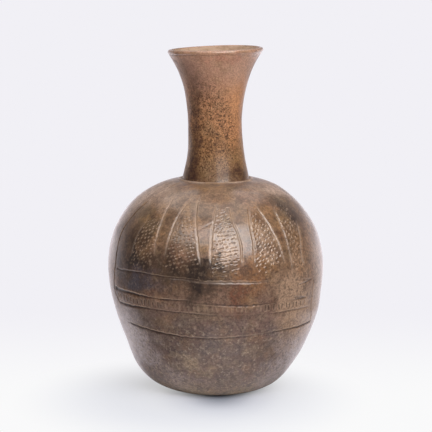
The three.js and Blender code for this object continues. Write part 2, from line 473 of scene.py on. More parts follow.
def press_strokes(lon, along, radius):
    """Depth of the ornament, and how far each place lies in a line, a dent, or pale clay, which the colours
    turn into painted sheen, shade and glints.
    """
    depth = np.zeros(len(lon))
    burr = np.zeros(len(lon))
    marks = {kind: np.zeros(len(lon)) for kind in ("line", "dent", "bead")}
    for stroke in strokes:
        line, (half_width, deep, curl) = stroke["line"], stroke["tool"]
        reach = STROKE_REACH * half_width
        middle = line[:, 0].mean()
        turn = (lon - middle + 180) % 360 - 180
        spread = np.degrees(reach / radius) + 0.5 * np.ptp(line[:, 0]) + 0.5 * abs(line[0, 0] - line[-1, 0])
        level = (along > line[:, 1].min() - reach) & (along < line[:, 1].max() + reach)
        place = np.nonzero((np.abs(turn) < spread) & level)[0]
        if not len(place):
            continue
        grip = radius[place, None] * math.pi / 180
        x = turn[place, None] * grip
        y = along[place, None]
        ax, bx = (line[:-1, 0] - middle) * grip, (line[1:, 0] - middle) * grip
        ay, by = line[:-1, 1], line[1:, 1]
        dx, dy = bx - ax, by - ay
        share = np.clip(((x - ax) * dx + (y - ay) * dy) / (dx * dx + dy * dy), 0, 1)
        off_x, off_y = x - ax - share * dx, y - ay - share * dy
        gap = np.hypot(off_x, off_y)
        best = gap.argmin(axis=1)
        rows = np.arange(len(place))
        above = (dx * off_y - dy * off_x)[rows, best] > 0
        along_line = share[rows, best]
        firm = line[best, 2] * (1 - along_line) + line[best + 1, 2] * along_line
        reach = half_width * np.where(above, 1 - stroke["lean"], 1 + stroke["lean"])
        gap = gap[rows, best] / (reach * part_way(SOFT_WIDTH, 1, firm))
        press = np.clip(1 - gap**2, 0, 1) ** HOLLOW_ROUND
        lengths = np.hypot(dx, dy)
        run = np.cumsum(lengths, axis=1)
        gone = run[rows, best] - (1 - along_line) * lengths[rows, best]
        left = run[:, -1] - gone
        if stroke["kind"] == "line":
            firm = firm * part_way(END_PRESS, 1, smooth_step(np.minimum(gone, left), 0, STROKE_END))
        depth[place] = np.maximum(depth[place], deep * firm * press)
        if stroke["lean"]:
            curl = np.where(above == (stroke["lean"] > 0), curl, 0)
        ridge = np.exp(-(((gap - BURR_PLACE) / BURR_WIDTH) ** 2))
        burr[place] = np.maximum(burr[place], deep * firm * curl * ridge)
        mark = marks[stroke["kind"]]
        shown = np.minimum(1, deep * firm / DARK_DEPTH) * press * stroke["show"]
        mark[place] = np.maximum(mark[place], shown)
    burr *= depth < UNCUT_DEPTH
    # Beads and burrs are marked pale, as a painted glint
    pale = np.maximum(np.minimum(1, marks["bead"]), np.minimum(1, burr / GLINT_HEIGHT))
    return depth - burr, marks["line"], marks["dent"], pale


def read_layer(mesh, name):
    values = np.empty(len(mesh.vertices), np.float32)
    mesh.attributes[name].data.foreach_get("value", values)
    return values.astype(float)


def spin_clay(name, outside, inside, steps, closed):
    """Spins an outline, up the outside and down the inside. Each point keeps its place along the wall."""
    bm = bmesh.new()
    layers = {key: bm.verts.layers.float.new(key) for key in ("along", "skin")}
    outline = [(*point, 1.0) for point in outside] + [(*point, 0.0) for point in inside]
    verts = []
    for along, (radius, height), skin in outline:
        vert = bm.verts.new((0, -radius * MM, height * MM))
        vert[layers["along"]] = along
        vert[layers["skin"]] = skin
        verts.append(vert)
    followers = verts[1:] + verts[:1] if closed else verts[1:]
    edges = [bm.edges.new(pair) for pair in zip(verts, followers)]
    turn = 2 * math.pi / SPIN_SHARES
    about = {"cent": (0, 0, 0), "axis": (0, 0, 1), "dvec": (0, 0, 0)}
    bmesh.ops.spin(bm, geom=verts + edges, angle=turn, steps=steps // SPIN_SHARES, **about)
    share = bm.verts[:] + bm.edges[:] + bm.faces[:]
    bmesh.ops.spin(
        bm, geom=share, angle=2 * math.pi - turn, steps=SPIN_SHARES - 1, use_duplicate=True, **about
    )
    bmesh.ops.remove_doubles(bm, verts=bm.verts, dist=MERGE_GAP)
    bmesh.ops.recalc_face_normals(bm, faces=bm.faces)
    for edge in bm.edges:
        edge.smooth = edge.calc_face_angle(0) < SHARP_ANGLE
    for face in bm.faces:
        face.smooth = True
    mesh = bpy.data.meshes.new(name)
    bm.to_mesh(mesh)
    bm.free()
    return mesh


def hand_wave(lon, height):
    """How far the hand-built wall stands out from a true round, in millimetres."""
    turn = np.radians(lon)
    wave = np.zeros(len(lon))
    for size, round_waves, rise_waves, turn_phase, rise_phase in HAND_WAVES:
        rise = 2 * math.pi * rise_waves * height * MM
        wave += size * np.cos(round_waves * turn + turn_phase) * np.cos(rise + rise_phase)
    return wave * smooth_step(height, 0, LEVEL_FOOT)


def work_surface(mesh, wall, ornamented):
    """Moves a spun piece's points as the potter's hand and tools left them."""
    count = len(mesh.vertices)
    place = np.empty(count * 3, np.float32)
    mesh.vertices.foreach_get("co", place)
    place = place.reshape(-1, 3).astype(float) / MM
    along, skin = read_layer(mesh, "along"), read_layer(mesh, "skin")
    radius = np.hypot(place[:, 0], place[:, 1])
    lon = np.degrees(np.arctan2(place[:, 0], -place[:, 1]))
    out = wall.outward(np.clip(along, 0, wall.length))
    move = np.zeros(count)
    marks = {name: np.zeros(count) for name in ("line", "dent", "burr")}
    if ornamented:
        worked = skin > 0.5
        depth, *pressed = press_strokes(lon[worked], along[worked], radius[worked])
        for mark, values in zip(marks.values(), pressed):
            mark[worked] = values
        move[worked] -= depth
    if wall is body:
        gap = (body.length - along - RIDGE_FROM_NECK) / RIDGE_WIDTH
        ridge = skin * np.exp(-(gap**2))
        move += RIDGE_HEIGHT * ridge
        # The ridge's painted highlight, as pale colour in the burr layer
        marks["burr"] = np.maximum(marks["burr"], RIDGE_GLINT * ridge)
    else:
        gap = (lip_start - along - GROOVE_UNDER_LIP) / GROOVE_WIDTH
        groove = skin * (0.5 - 0.5 * np.sin(np.radians(lon))) * np.exp(-(gap**2))
        move -= GROOVE_DEPTH * groove
        # The groove's painted shadow, as dark colour in the dent layer
        marks["dent"] = np.maximum(marks["dent"], groove)
    heights, leans, swells = smooth_line(HAND_SHAPE).T
    lean = np.interp(place[:, 2], heights, leans)
    push = hand_wave(lon, place[:, 2]) + np.interp(place[:, 2], heights, swells)
    oval = np.exp(-place[:, 2] / OVAL_HEIGHT)
    turn = np.radians(lon)
    step = move * out[:, 0] + push * (radius > 1)
    place[:, 0] = (place[:, 0] + step * np.sin(turn)) * (1 - FOOT_SQUEEZE * oval) + lean
    place[:, 1] -= step * np.cos(turn)
    place[:, 2] += move * out[:, 1]
    rise = smooth_step(place[:, 2], NECK_ROOT_HEIGHT, MOUTH_HEIGHT)
    lip = np.zeros(count)
    for waves, front, aside in LIP_WAVES:
        lip += front * np.cos(waves * turn) + aside * np.sin(waves * turn)
    lip *= smooth_step(place[:, 2], WAIST_HEIGHT, MOUTH_HEIGHT)
    place[:, 2] += place[:, 0] * math.tan(math.radians(MOUTH_TILT)) * rise + lip
    mesh.vertices.foreach_set("co", (place * MM).astype(np.float32).ravel())
    for name, values in marks.items():
        layer = mesh.attributes.new(name, "FLOAT", "POINT")
        layer.data.foreach_set("value", values.astype(np.float32))
    mesh.update()


def rows_between(start, end, step):
    return np.linspace(start, end, round((end - start) / step) + 1)


def on_face(face, alongs):
    return list(zip(alongs, face(alongs)))


def in_scene(name, data):
    thing = bpy.data.objects.new(name, data)
    bpy.context.scene.collection.objects.link(thing)
    return thing


def make_piece(node, slot, wall, outline, steps, ornamented=False, closed=True):
    """One piece of clay, spun from its outside and inside, worked, and put in place of its solid."""
    mesh = spin_clay(node + "_clay", *outline, steps, closed)
    work_surface(mesh, wall, ornamented)
    mesh.materials.append(clays[slot])
    piece = in_scene(node + "_clay", mesh)
    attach(piece, "root")
    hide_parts(node)


def make_base_disc():
    outside = on_face(body.outer, rows_between(0, disc_joint + HALF_LAP, PLAIN_ROW))
    inside = on_face(body.inner, np.linspace(disc_joint - HALF_LAP, 0, INSIDE_ROWS))
    outside.insert(0, (0.0, np.array([0.0, 0.0])))
    inside.append((0.0, np.array([0.0, FLOOR_THICKNESS])))
    make_piece("base_disc", "foot_clay", body, (outside, inside), PLAIN_STEPS, closed=False)


def make_ring(wall, name, low, high):
    """A ring of clay with lapped joints. The crown and the foot of the neck meet on a seat instead."""
    kind = NECK_KIND if wall is neck else HEEL_KIND if name == "heel_ring" else BODY_KIND
    slot, row, inside_rows, steps = kind
    low_lap = 0 if name == "neck_foot_ring" else HALF_LAP
    high_lap = 0 if name == "crown_ring" else HALF_LAP
    outside = on_face(wall.outer, rows_between(low + low_lap, high + high_lap, row))
    inside = on_face(wall.inner, np.linspace(high - high_lap, low - low_lap, inside_rows))
    if not high_lap:
        inside.insert(0, (high, seat_corner))
    if not low_lap:
        inside.append((low, seat_corner))
    make_piece(name, slot, wall, (outside, inside), steps, kind is BODY_KIND)


def make_lip_coil():
    outside = on_face(neck.outer, rows_between(lip_joint + HALF_LAP, lip_start, LIP_ROW))
    inside = on_face(neck.inner, np.linspace(lip_start, lip_joint - HALF_LAP, 2 * INSIDE_ROWS))
    edge, facing = outside[-1][1], inside[0][1]
    centre = 0.5 * (edge + facing)
    across = edge - centre
    onward = np.array([-across[1], across[0]])
    for turn in np.linspace(0, math.pi, LIP_ROWS + 2)[1:-1]:
        outside.append((lip_start, centre + across * math.cos(turn) + onward * math.sin(turn)))
    make_piece("lip_coil", "neck_clay", neck, (outside, inside), NECK_STEPS)


def tone(red, green, blue):
    """A colour given as it looks on a screen, from 0 to 255, as the shader takes it."""
    shares = (channel / 255 for channel in (red, green, blue))
    return (*(s / 12.92 if s <= 0.04045 else ((s + 0.055) / 1.055) ** 2.4 for s in shares), 1.0)


# Fired colours of the skin and of the inside by height, as they look on a screen
FIRED_COLOURS = [
    (0, (156, 132, 106)), (9, (150, 125, 106)), (16, (136, 111, 100)), (25, (112, 87, 77)),
    (48, (102, 77, 66)), (72, (117, 91, 80)), (100, (126, 95, 74)), (120, (127, 94, 68)),
    (142, (126, 96, 71)), (166, (134, 104, 79)), (182, (147, 117, 93)), (189, (126, 95, 64)),
    (204, (147, 109, 71)), (226, (166, 117, 75)), (248, (182, 128, 88)), (280, (171, 127, 103)),
    (304, (186, 142, 115)),
]
INSIDE_COLOURS = [
    (0, (112, 94, 74)), (230, (124, 104, 82)), (272, (166, 138, 112)), (304, (184, 154, 130)),
]
# Noise that sways the heights of the fired colours: size and detail, then the height that it sways by
SWAY_GRAIN = (30, 4)
SWAY_HEIGHT = 26.0
# How rough the skin is by height, and how much of the burnish's polish it keeps
SKIN_ROUGHNESS = [
    (0, 0.52), (75, 0.48), (100, 0.42), (120, 0.38), (170, 0.38),
    (190, 0.44), (290, 0.44), (297, 0.25), (304, 0.25),
]
SKIN_POLISH = [
    (0, 0.5), (40, 0.75), (96, 0.75), (122, 0.95), (162, 0.95), (178, 0.45),
    (183, 0.5), (184.5, 0.9), (186, 0.6), (189, 0.25), (192, 0.15), (294, 0.15), (298, 1.0), (304, 1.0),
]
# How much rougher the raw inside is, and how much of its polish the skin loses in lines and dents
RAW_ROUGHNESS = 0.4
PRESSED_DULL = 0.6
# Heights at which the polish along the upper band lines sets in, and ends from that level
TRACK_FOOT = (84, 88)
TRACK_TOP = (116, 122, 0.8, 0.0)
# Gloss that is the same all over: the burnish, the polish over it and a dry bloom along the edges
SKIN_GLOSS = {
    "Specular IOR Level": 0.45,
    "Specular Tint": (1.0, 0.9, 0.88, 1),
    "Coat Roughness": 0.17,
    "Coat IOR": 1.6,
    "Sheen Weight": 0.13,
    "Sheen Roughness": 0.35,
    "Sheen Tint": (1.0, 0.88, 0.88, 1),
}
# Grains: size, detail, bounds of the noise, and the levels at those bounds
SKIN_GRAIN = (1.4, 2, 0.3, 0.7, 0.8, 1.2)
ROUGH_GRAIN = (5, 4, 0.3, 0.7, -0.05, 0.07)
POLISH_GRAIN = (7, 4, 0.3, 0.6, 0.8, 1.0)
SMUDGE_AND_SHADE_GRAIN = (2.4, 3, 0.36, 0.6, 0.5, 1.05)
# Pits and wider dimples of the skin: size and detail, and how deep dimples are to pits
PITS = (0.9, 3)
DIMPLES = (4.0, 2)
DIMPLE_SHARE = 1.5
PIT_BUMP = {"Strength": 0.25, "Distance": 0.12 * MM}
# Colours of the tool's marks, which are painted light: painted sheen in the shoulder's lines, painted shade
# in the belly's lines and in dents, painted glints on burrs and beads. Layer, how strongly it shows on the
# shoulder and on the belly, and colour
MARK_LIGHT_AND_SHADE = [
    # Painted sheen in the lines on the shoulder
    ("line", 0.65, 0.0, (180, 154, 134)),
    # Painted shade in the lines on the belly
    ("line", 0.0, 0.85, (48, 34, 30)),
    # Painted shade in the dents and in the groove under the lip
    ("dent", 0.5, 0.65, (62, 45, 35)),
    # Painted glints on burrs, beads and the neck's ridge
    ("burr", 0.8, 0.8, (192, 160, 132)),
]
# Heights over which the belly's marks and the low spots set in
BELLY_MARKS = (118, 100)
LOW_SKIN = (88, 62)
# Spots fired into the skin: size, bounds of the noise, colour, and how strongly they show
BODY_SPOTS = [
    (34, 0.5, 0.62, (150, 114, 100), 0.35),
    (22, 0.5, 0.64, (116, 102, 76), 0.35),
    (17, 0.5, 0.63, (158, 118, 76), 0.45),
    (12, 0.52, 0.64, (96, 64, 46), 0.5),
    (8, 0.5, 0.64, (84, 62, 48), 0.4),
]
BODY_SPECKS = [
    (4.4, 0.5, 0.66, (76, 56, 43), 0.45),
    (2.1, 0.48, 0.62, (62, 46, 36), 0.45),
    (2.6, 0.54, 0.66, (180, 150, 122), 0.15),
]
# How strongly the spots and the specks show by height
SPOTTED = [(0, 0.5), (60, 0.5), (95, 1.0), (190, 1.0)]
SPECKLED = [(0, 0.5), (60, 0.5), (95, 1.0), (140, 1.0), (168, 0.65), (190, 0.65)]
LOW_SPOTS = [
    (26, 0.48, 0.62, (98, 88, 88), 0.4),
    (12, 0.55, 0.64, (152, 126, 100), 0.25),
    (7, 0.53, 0.63, (80, 65, 58), 0.5),
]
LOW_SPECKS = [
    (4, 0.54, 0.64, (150, 127, 106), 0.35),
    (2.4, 0.52, 0.62, (74, 58, 50), 0.4),
    (2.6, 0.56, 0.66, (176, 154, 132), 0.35),
]
NECK_SPOTS = [
    (13, 0.48, 0.64, (138, 112, 82), 0.4),
    (5, 0.5, 0.66, (120, 82, 56), 0.35),
    (2.6, 0.54, 0.66, (200, 154, 116), 0.3),
]
SMOKE_SPOTS = [(6, 0.5, 0.66, (122, 84, 54), 0.4), (2.7, 0.52, 0.63, (92, 60, 40), 0.55)]
SOOT_COLOUR = (64, 36, 18)
SOOT_SPOTS = [
    (0.8, 0.54, 0.6, SOOT_COLOUR, 0.4),
    (1.1, 0.55, 0.61, SOOT_COLOUR, 0.6),
    (1.5, 0.58, 0.64, SOOT_COLOUR, 0.75),
    (2.2, 0.62, 0.68, SOOT_COLOUR, 0.75),
]
SOOT_EVERYWHERE = 0.12
# Clouds that the fire left, and clouds of painted sheen, highlight and shade among them: longitude, height,
# reach, and how strongly each shows
GREY_CLOUDS = [
    (-64, 70, 26, 0.5), (-54, 50, 34, 1.0), (-48, 32, 28, 0.6), (46, 48, 28, 0.65), (60, 36, 30, 0.8),
    (46, 20, 24, 0.6), (-30, 18, 20, 0.3), (-140, 60, 40, 0.4),
]
SLATE_CLOUDS = [(-33, 56, 18, 0.35), (-46, 68, 18, 0.3), (-10, 46, 14, 0.35), (-150, 40, 30, 0.4)]
SMOKE_CLOUDS = [(-58, 104, 14, 0.7), (-47, 106, 16, 0.85), (-36, 106, 14, 0.7), (-27, 104, 10, 0.35)]
PALE_CLOUDS = [
    (44, 106, 28, 0.65), (42, 178, 18, 0.35), (-42, 178, 20, 0.35), (50, 92, 30, 0.85), (46, 78, 28, 0.55),
    (52, 64, 30, 0.7), (72, 136, 26, 0.3), (58, 124, 26, 0.35), (160, 90, 40, 0.3),
]
# Painted sheen along the pot's edges, and painted highlight on the third wedge and the strip beside it
SHEEN_AND_HIGHLIGHT_CLOUDS = [
    (78, 116, 34, 0.85), (70, 92, 30, 0.85), (72, 74, 28, 0.6), (80, 152, 18, 0.35), (66, 58, 24, 0.5),
    (-80, 150, 20, 0.5), (-80, 92, 14, 0.35), (-100, 60, 30, 0.3), (6, 140, 18, 0.6), (-6, 152, 12, 0.3),
    (27, 151, 15, 0.65), (30, 136, 16, 0.55), (5, 131, 14, 0.9),
]
TAN_CLOUDS = [
    (-17, 36, 10, 0.8), (1, 44, 9, 0.7), (-26, 42, 8, 0.6), (12, 36, 8, 0.5), (-8, 28, 9, 0.6),
    (24, 50, 11, 0.4),
]
WARM_CLOUDS = [
    (19, 113, 24, 0.75), (57, 127, 24, 0.3), (32, 171, 22, 0.3), (-150, 110, 40, 0.4), (130, 150, 35, 0.4),
    (-90, 140, 30, 0.3),
]
RED_CLOUDS = [
    (11, 98, 15, 0.85), (41, 148, 12, 0.6), (-20, 132, 18, 0.3), (-36, 96, 14, 0.4), (12, 84, 12, 0.3),
]
# Dark clouds of the fire, with painted shade on the left of the belly
DARK_AND_SHADE_CLOUDS = [
    (-64, 140, 24, 0.4), (-60, 120, 22, 0.65), (-58, 90, 13, 0.3), (-44, 115, 26, 0.7), (-28, 119, 26, 0.65),
    (-15, 121, 26, 0.6), (-4, 122, 13, 1.0), (-5, 128.5, 9, 0.85), (-10, 125, 13, 0.6), (-4, 116, 18, 0.5),
    (-8, 103, 17, 0.65), (5, 112, 16, 0.5), (-47, 127, 22, 0.45), (-47, 141, 24, 0.5), (40, 144, 9, 0.35),
    (56, 166, 20, 0.6), (61, 153, 18, 0.6), (50, 172, 14, 0.3), (150, 120, 50, 0.6), (-120, 90, 55, 0.6),
    (110, 70, 45, 0.5), (-160, 150, 35, 0.5),
]
# Painted sheen on the sides of the crown
CROWN_SHEEN_CLOUDS = [
    (-52, 179, 18, 0.4), (-72, 175, 24, 0.85), (-77, 166, 26, 0.95), (-86, 152, 18, 0.5), (-94, 179, 22, 0.7),
    (-66, 184, 14, 0.5), (-40, 172, 12, 0.25), (54, 180, 17, 0.45), (70, 178, 20, 0.75), (82, 172, 18, 0.7),
    (94, 180, 18, 0.6), (66, 184, 13, 0.5),
]
# Clouds on the body, each group after its colour, in the order that they lie over each other
BODY_CLOUDS = [
    ((166, 149, 145), GREY_CLOUDS),
    ((98, 82, 79), SLATE_CLOUDS),
    ((164, 132, 106), PALE_CLOUDS),
    ((176, 145, 122), SHEEN_AND_HIGHLIGHT_CLOUDS),
    ((194, 164, 143), CROWN_SHEEN_CLOUDS),
    ((158, 132, 104), TAN_CLOUDS),
    ((134, 88, 50), WARM_CLOUDS),
    ((108, 62, 41), RED_CLOUDS),
    ((46, 33, 25), DARK_AND_SHADE_CLOUDS),
    ((74, 68, 76), SMOKE_CLOUDS),
]
# Clouds on the neck in the same way: a painted glow of light mostly on its right, then a pale cloud of
# painted light on the right of the flare, painted shade mostly on the left of the flare, and red clouds of
# the flare
NECK_CLOUDS_LIGHT_AND_SHADE = [
    ((190, 134, 92), [(52, 264, 24, 0.7), (50, 242, 24, 0.85), (52, 226, 18, 0.5), (-140, 262, 30, 0.4)]),
    ((188, 146, 122), [(52, 290, 28, 0.6), (40, 278, 20, 0.3)]),
    ((114, 80, 70), [(-40, 284, 22, 0.45), (-30, 268, 16, 0.3), (120, 285, 24, 0.4)]),
    ((170, 106, 86), [(8, 296, 9, 0.4), (26, 295, 9, 0.4), (-12, 294, 8, 0.25)]),
]
# Smudges round the neck's root, a chip by the lip, and painted shade down the left of the neck
SMUDGE_AND_SHADE_COLOUR = (72, 46, 34)
NECK_SMUDGES_AND_SHADE = [(-47, height, 11, 0.32) for height in range(194, 272, 7)] + [
    (-50, 196, 12, 0.5), (-56, 189, 13, 0.7), (54, 190, 13, 0.75), (46, 198, 8, 0.5), (-10, 218, 6, 0.4),
    (-68, 291, 5, 0.9), (-40, 258, 7, 0.2), (-44, 246, 8, 0.4), (-41, 234, 7, 0.65), (-34, 221, 7, 0.5),
    (-42, 207, 10, 0.35), (34, 194, 9, 0.55), (22, 191, 6, 0.4), (-34, 190, 8, 0.45), (-130, 215, 20, 0.5),
    (140, 240, 18, 0.4),
]
SOOT_PLACES = [
    (-16, 262, 26, 0.6), (-14, 242, 34, 0.8), (10, 232, 26, 0.25), (-8, 222, 32, 0.8), (0, 202, 36, 0.9),
    (170, 230, 60, 0.8),
]
# How far noise pulls the clouds out of round, and its grain
BODY_RAGGED = (42, 14)
NECK_RAGGED = (16, 5)
# The share of a cloud's reach over which it shows fully
CLOUD_HEART = 0.15


class Recipe:
    """Nodes of one material or world, joined up step by step."""

    def __init__(self, tree):
        self.tree = tree

    def feed(self, socket, value):
        if isinstance(value, bpy.types.NodeSocket):
            self.tree.links.new(value, socket)
        else:
            socket.default_value = value

    def node(self, kind, inputs, **settings):
        node = self.tree.nodes.new(kind)
        for name, value in settings.items():
            setattr(node, name, value)
        for socket, value in inputs.items():
            self.feed(node.inputs[socket], value)
        return node

    def axes(self, vector):
        return self.node("ShaderNodeSeparateXYZ", {0: vector}).outputs

    def math(self, operation, first, second):
        return self.node("ShaderNodeMath", {0: first, 1: second}, operation=operation).outputs[0]

    def times(self, first, second):
        return self.math("MULTIPLY", first, second)

    def blend(self, share, under, over, kind="MIX"):
        mix = self.node("ShaderNodeMix", {0: share, 6: under, 7: over}, data_type="RGBA", blend_type=kind)
        return mix.outputs[2]

    def ease(self, value, low, high, at_low=0.0, at_high=1.0):
        """A value eased from one level to another between two bounds."""
        bounds = {"Value": value, "From Min": low, "From Max": high, "To Min": at_low, "To Max": at_high}
        return self.node("ShaderNodeMapRange", bounds, interpolation_type="SMOOTHSTEP").outputs["Result"]


class ClayRecipe(Recipe):
    """One material on Object coordinates, with the heights, clouds and specks of fired clay."""

    def __init__(self, name, gloss):
        self.material = bpy.data.materials.new(name)
        self.material.use_nodes = True
        super().__init__(self.material.node_tree)
        self.shader = self.tree.nodes["Principled BSDF"]
        for socket, value in gloss.items():
            self.give(socket, value)
        self.place = self.tree.nodes.new("ShaderNodeTexCoord").outputs["Object"]
        self.height = self.times(self.axes(self.place)["Z"], 1 / MM)

    def give(self, socket, value):
        self.feed(self.shader.inputs[socket], value)

    def noise(self, size, detail, output="Fac"):
        """Noise from 0 to 1 with grains of that size in millimetres."""
        inputs = {"Vector": self.place, "Scale": 1 / (size * MM), "Detail": detail}
        return self.node("ShaderNodeTexNoise", inputs).outputs[output]

    def grain(self, size, detail, low, high, at_low=0.0, at_high=1.0):
        """Noise eased from one level to another between two bounds."""
        return self.ease(self.noise(size, detail), low, high, at_low, at_high)

    def vector(self, operation, *inputs):
        return self.node("ShaderNodeVectorMath", dict(enumerate(inputs)), operation=operation).outputs

    def layer(self, name):
        return self.node("ShaderNodeAttribute", {}, attribute_name=name).outputs["Fac"]

    def by_height(self, stops, height=None):
        """A colour or level that changes with the height in millimetres."""
        top = stops[-1][0]
        ramp = self.node("ShaderNodeValToRGB", {"Fac": self.math("DIVIDE", height or self.height, top)})
        elements = ramp.color_ramp.elements
        while len(elements) < len(stops):
            elements.new(0.5)
        for element, (stop, value) in zip(elements, stops):
            element.position = stop / top
            element.color = tone(*value) if isinstance(value, tuple) else (value, value, value, 1)
        return ramp.outputs["Color"]

    def clouds(self, places, ragged):
        """How strongly ragged clouds round points of the skin show, from 0 to 1."""
        pull, grain = ragged
        drift = self.vector("SUBTRACT", self.noise(grain, 4.0, "Color"), (0.5, 0.5, 0.5))[0]
        place = self.vector("MULTIPLY_ADD", drift, (pull * MM,) * 3, self.place)[0]
        total = 0.0
        for lon, height, reach, share in places:
            gap = self.vector("DISTANCE", place, skin_point(lon, height))["Value"]
            shown = self.ease(gap, CLOUD_HEART * reach * MM, reach * MM, share, 0.0)
            total = self.math("ADD", shown, total)
        return self.math("MINIMUM", total, 1.0)

    def spots(self, colour, kinds, where=1.0, detail=3.0):
        """The colour with ragged spots of other tones fired into it."""
        for size, low, high, spot, share in kinds:
            shown = self.times(self.grain(size, detail, low, high), share)
            colour = self.blend(self.times(shown, where), colour, tone(*spot))
        return colour


def skin_point(lon, height):
    """The point of the outside at that longitude and height, in metres."""
    wall = neck if height > NECK_ROOT_HEIGHT else body
    radius = wall.outer(wall.along_at(height))[0] * MM
    turn = math.radians(lon)
    return (radius * math.sin(turn), -radius * math.cos(turn), height * MM)


def clouded(clay, colour, groups, ragged):
    """The colour with groups of clouds laid over it in their order."""
    for cloud, places in groups:
        colour = clay.blend(clay.clouds(places, ragged), colour, tone(*cloud))
    return colour


def sooted(clay, colour):
    """The neck's colour under its brown smoke stains and fine specks of soot."""
    shown = clay.math("ADD", clay.clouds(SOOT_PLACES, NECK_RAGGED), SOOT_EVERYWHERE)
    colour = clay.spots(colour, SMOKE_SPOTS, shown)
    return clay.spots(colour, SOOT_SPOTS, shown, detail=2.0)


def body_colour(clay, colour):
    """The body's and the foot's colour, spotted and clouded by the fire, with painted sheen, highlight and
    shade among the clouds.
    """
    low = clay.ease(clay.height, *LOW_SKIN)
    colour = clay.spots(colour, BODY_SPOTS, clay.by_height(SPOTTED))
    colour = clay.spots(colour, LOW_SPOTS, low)
    colour = clouded(clay, colour, BODY_CLOUDS, BODY_RAGGED)
    colour = clay.spots(colour, BODY_SPECKS, clay.by_height(SPECKLED))
    return clay.spots(colour, LOW_SPECKS, low)


def neck_colour(clay, colour):
    """The neck's colour, with a painted glow of light on its right, soot on its front, and smudges and
    painted shade down its left.
    """
    colour = clay.spots(colour, NECK_SPOTS)
    colour = clouded(clay, colour, NECK_CLOUDS_LIGHT_AND_SHADE, NECK_RAGGED)
    colour = sooted(clay, colour)
    smudges_and_shade = clay.clouds(NECK_SMUDGES_AND_SHADE, NECK_RAGGED)
    smudges_and_shade = clay.times(smudges_and_shade, clay.grain(*SMUDGE_AND_SHADE_GRAIN))
    return clay.blend(smudges_and_shade, colour, tone(*SMUDGE_AND_SHADE_COLOUR))


def painted_mark_light(clay, colour):
    """The colour with painted light in the tool's marks: painted sheen in the lines on the shoulder, painted
    shade in the lines on the belly and in the dents, painted glints on burrs, beads and the neck's ridge.
    """
    low = clay.ease(clay.height, *BELLY_MARKS)
    for layer, on_shoulder, on_belly, mark in MARK_LIGHT_AND_SHADE:
        shown = clay.times(clay.layer(layer), clay.ease(low, 0, 1, on_shoulder, on_belly))
        colour = clay.blend(shown, colour, tone(*mark))
    return colour


def fired_clay(name, fire):
    """Burnished earthenware as the fire coloured it, with painted light and shade in some of its clouds and
    tool marks, on one part of the pot.
    """
    clay = ClayRecipe(name, SKIN_GLOSS)
    sway = clay.math("SUBTRACT", clay.noise(*SWAY_GRAIN), 0.5)
    sway = clay.times(sway, SWAY_HEIGHT)
    colour = fire(clay, clay.by_height(FIRED_COLOURS, clay.math("ADD", clay.height, sway)))
    colour = clay.blend(1.0, colour, clay.grain(*SKIN_GRAIN), "MULTIPLY")
    colour = painted_mark_light(clay, colour)
    inside = clay.by_height(INSIDE_COLOURS)
    inside = clay.spots(inside, NECK_SPOTS[:2])
    clay.give("Base Color", clay.blend(clay.layer("skin"), inside, colour))
    burnish(clay)
    return clay.material


def burnish(clay):
    """The rubbed skin: rougher inside, polished where the stone passed and along the upper band lines."""
    line, dents, skin = clay.layer("line"), clay.layer("dent"), clay.layer("skin")
    rough = clay.by_height(SKIN_ROUGHNESS)
    rough = clay.math("ADD", rough, clay.grain(*ROUGH_GRAIN))
    raw_rough = clay.times(clay.math("SUBTRACT", 1.0, skin), RAW_ROUGHNESS)
    clay.give("Roughness", clay.math("ADD", rough, raw_rough))
    polish = clay.by_height(SKIN_POLISH)
    polish = clay.times(polish, clay.grain(*POLISH_GRAIN))
    pressed = clay.times(clay.math("MAXIMUM", line, dents), PRESSED_DULL)
    polish = clay.times(polish, clay.math("SUBTRACT", 1.0, pressed))
    track = clay.times(clay.ease(clay.height, *TRACK_FOOT), clay.ease(clay.height, *TRACK_TOP))
    polish = clay.math("MAXIMUM", polish, clay.times(line, track))
    clay.give("Coat Weight", clay.times(polish, skin))
    dimples = clay.times(clay.noise(*DIMPLES), DIMPLE_SHARE)
    pits = clay.math("ADD", clay.noise(*PITS), dimples)
    bump = clay.node("ShaderNodeBump", {"Height": pits, **PIT_BUMP})
    clay.give("Normal", bump.outputs["Normal"])


# The floor in metres, its own colour, and the colours of a painted shadow that the camera sees on it, in that
# shadow's outer and inner part
FLOOR_SIZE = 40
FLOOR_COLOUR = (0.9, 0.915, 0.945, 1)
PAINTED_SHADOW_OUTER_COLOUR = (0.66, 0.69, 0.80, 1)
PAINTED_SHADOW_INNER_COLOUR = (0.29, 0.32, 0.39, 1)
FLOOR_GLOSS = {"Roughness": 0.9, "Specular IOR Level": 0.1}
# The near and the far part of the shadow, where the floor glows less and, near the pot, is painted darker:
# how far each is moved from the axis, and how it is stretched
NEAR_SHADOW = ((-0.004, 0.043, 0.0), (1.6, 1.0, 0.0))
FAR_SHADOW = ((0.02, 0.056, 0.0), (1.6, 1.5, 0.0))
# Distances over which the painted shadow's inner colour gives way, and the floor comes to glow like the paper
PAINTED_SHADOW_FADE = (0.005, 0.06)
NEAR_GLOW = (0.0, 0.1, 0.0, 0.58)
FAR_GLOW = (0.09, 0.26, 0.0, 0.42)
# The paper's colour behind the pot and in front of it, and as the burnished skin mirrors it
BACKGROUND_COLOUR = (0.88, 0.87, 0.915, 1)
FRONT_COLOUR = (0.95, 0.95, 0.955, 1)
SWEEP_COLOUR = (0.975, 0.9, 0.955, 1)
PAPER_TURN = (0.35, -0.08)
# Light of the dim room and of the sweep, by the share of a direction that points back or up
ROOM_LEVEL = 0.1
SWEEP_LEVEL = 0.85
SWEEP_BACK = (0.36, 0.74)
SWEEP_UP = (-0.05, 0.3, 1.0, 0.3)
